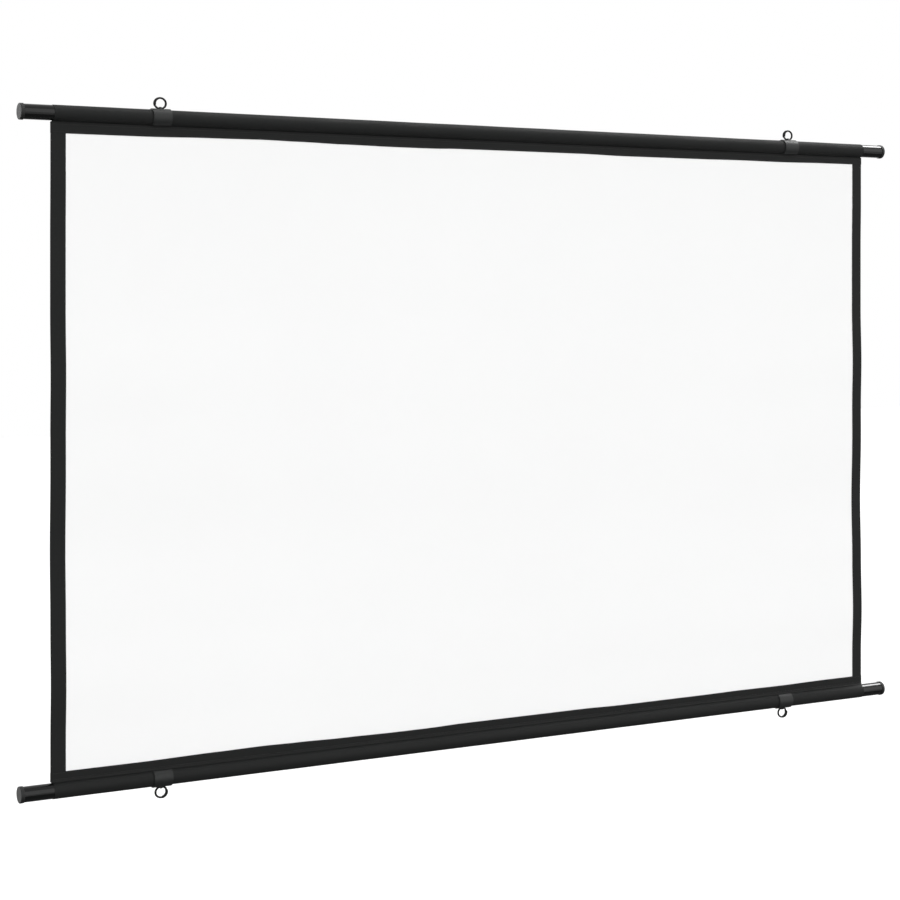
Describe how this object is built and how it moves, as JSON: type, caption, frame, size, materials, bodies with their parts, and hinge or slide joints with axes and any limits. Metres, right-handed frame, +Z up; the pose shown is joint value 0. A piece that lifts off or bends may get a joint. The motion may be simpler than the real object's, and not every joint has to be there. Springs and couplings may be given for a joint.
{
  "type": "projection screen",
  "caption": "Hanging projection screen: a white picture sheet with black borders, stretched between two round bars with split clips and hanging rings.",
  "frame": {"origin": "midway between the two upper rings, at the inner top of their holes, where the hooks bear", "axes": "+X along the bars to the right seen from the front, +Z up, the picture faces -Y"},
  "size_m": [1.5736, 0.0264, 1.0134],
  "materials": {
    "bar_paint": "gloss black paint on thin steel tube",
    "cap_plastic": "matt dark grey moulded plastic",
    "black_fabric": "matt black polyester, plain weave",
    "picture_fabric": "matt white screen cloth, very fine weave",
    "clip_plastic": "satin dark grey moulded plastic",
    "ring_wire": "black coated round steel wire"
  },
  "bodies": {
    "top_bar": {"top_tube": "bar_paint", "top_left_end_cap": "cap_plastic", "top_right_end_cap": "cap_plastic"},
    "screen": {"top_pocket": "black_fabric", "projection_sheet": "picture_fabric", "left_border": "black_fabric", "right_border": "black_fabric"},
    "hem": {"bottom_hem": "black_fabric"},
    "bottom_bar": {"bottom_tube": "bar_paint", "bottom_left_end_cap": "cap_plastic", "bottom_right_end_cap": "cap_plastic", "bottom_pocket": "black_fabric"},
    "top_left_clip": {"top_left_clip": "clip_plastic"},
    "top_right_clip": {"top_right_clip": "clip_plastic"},
    "bottom_left_clip": {"bottom_left_clip": "clip_plastic"},
    "bottom_right_clip": {"bottom_right_clip": "clip_plastic"},
    "top_left_ring": {"top_left_ring": "ring_wire"},
    "top_right_ring": {"top_right_ring": "ring_wire"},
    "bottom_left_ring": {"bottom_left_ring": "ring_wire"},
    "bottom_right_ring": {"bottom_right_ring": "ring_wire"}
  },
  "joints": [
    {"name": "screen_swing", "type": "hinge", "parent": "top_bar", "child": "screen", "pos_m": [0, 0, -0.02745], "axis": [1, 0, 0], "range_deg": [-18, 18]},
    {"name": "roll_up", "type": "slide", "parent": "screen", "child": "hem", "axis": [0, 0, 1], "range_m": [0, 0.84], "deforming": ["projection_sheet", "left_border", "right_border"]},
    {"name": "bottom_bar_turn", "type": "hinge", "parent": "hem", "child": "bottom_bar", "pos_m": [0, 0, -0.97995], "axis": [1, 0, 0], "range_deg": [-3600, 0]},
    {"name": "top_left_clip_slide", "type": "slide", "parent": "top_bar", "child": "top_left_clip", "axis": [1, 0, 0], "range_m": [-0.188, 0.555]},
    {"name": "top_right_clip_slide", "type": "slide", "parent": "top_bar", "child": "top_right_clip", "axis": [1, 0, 0], "range_m": [-0.555, 0.188]},
    {"name": "bottom_left_clip_slide", "type": "slide", "parent": "hem", "child": "bottom_left_clip", "axis": [1, 0, 0], "range_m": [-0.189, 0.553]},
    {"name": "bottom_right_clip_slide", "type": "slide", "parent": "hem", "child": "bottom_right_clip", "axis": [1, 0, 0], "range_m": [-0.542, 0.2]},
    {"name": "top_left_ring_tilt", "type": "hinge", "parent": "top_left_clip", "child": "top_left_ring", "pos_m": [-0.577, 0, -0.0144], "axis": [1, 0, 0], "range_deg": [-65, 65]},
    {"name": "top_right_ring_tilt", "type": "hinge", "parent": "top_right_clip", "child": "top_right_ring", "pos_m": [0.577, 0, -0.0144], "axis": [1, 0, 0], "range_deg": [-65, 65]},
    {"name": "bottom_left_ring_tilt", "type": "hinge", "parent": "bottom_left_clip", "child": "bottom_left_ring", "pos_m": [-0.5757, 0, -0.993], "axis": [1, 0, 0], "range_deg": [-65, 65]},
    {"name": "bottom_right_ring_tilt", "type": "hinge", "parent": "bottom_right_clip", "child": "bottom_right_ring", "pos_m": [0.5644, 0, -0.993], "axis": [1, 0, 0], "range_deg": [-65, 65]}
  ],
  "couplings": [
    {"joint": "bottom_bar_turn", "follows": "roll_up", "rad_per_m": -74.6}
  ]
}
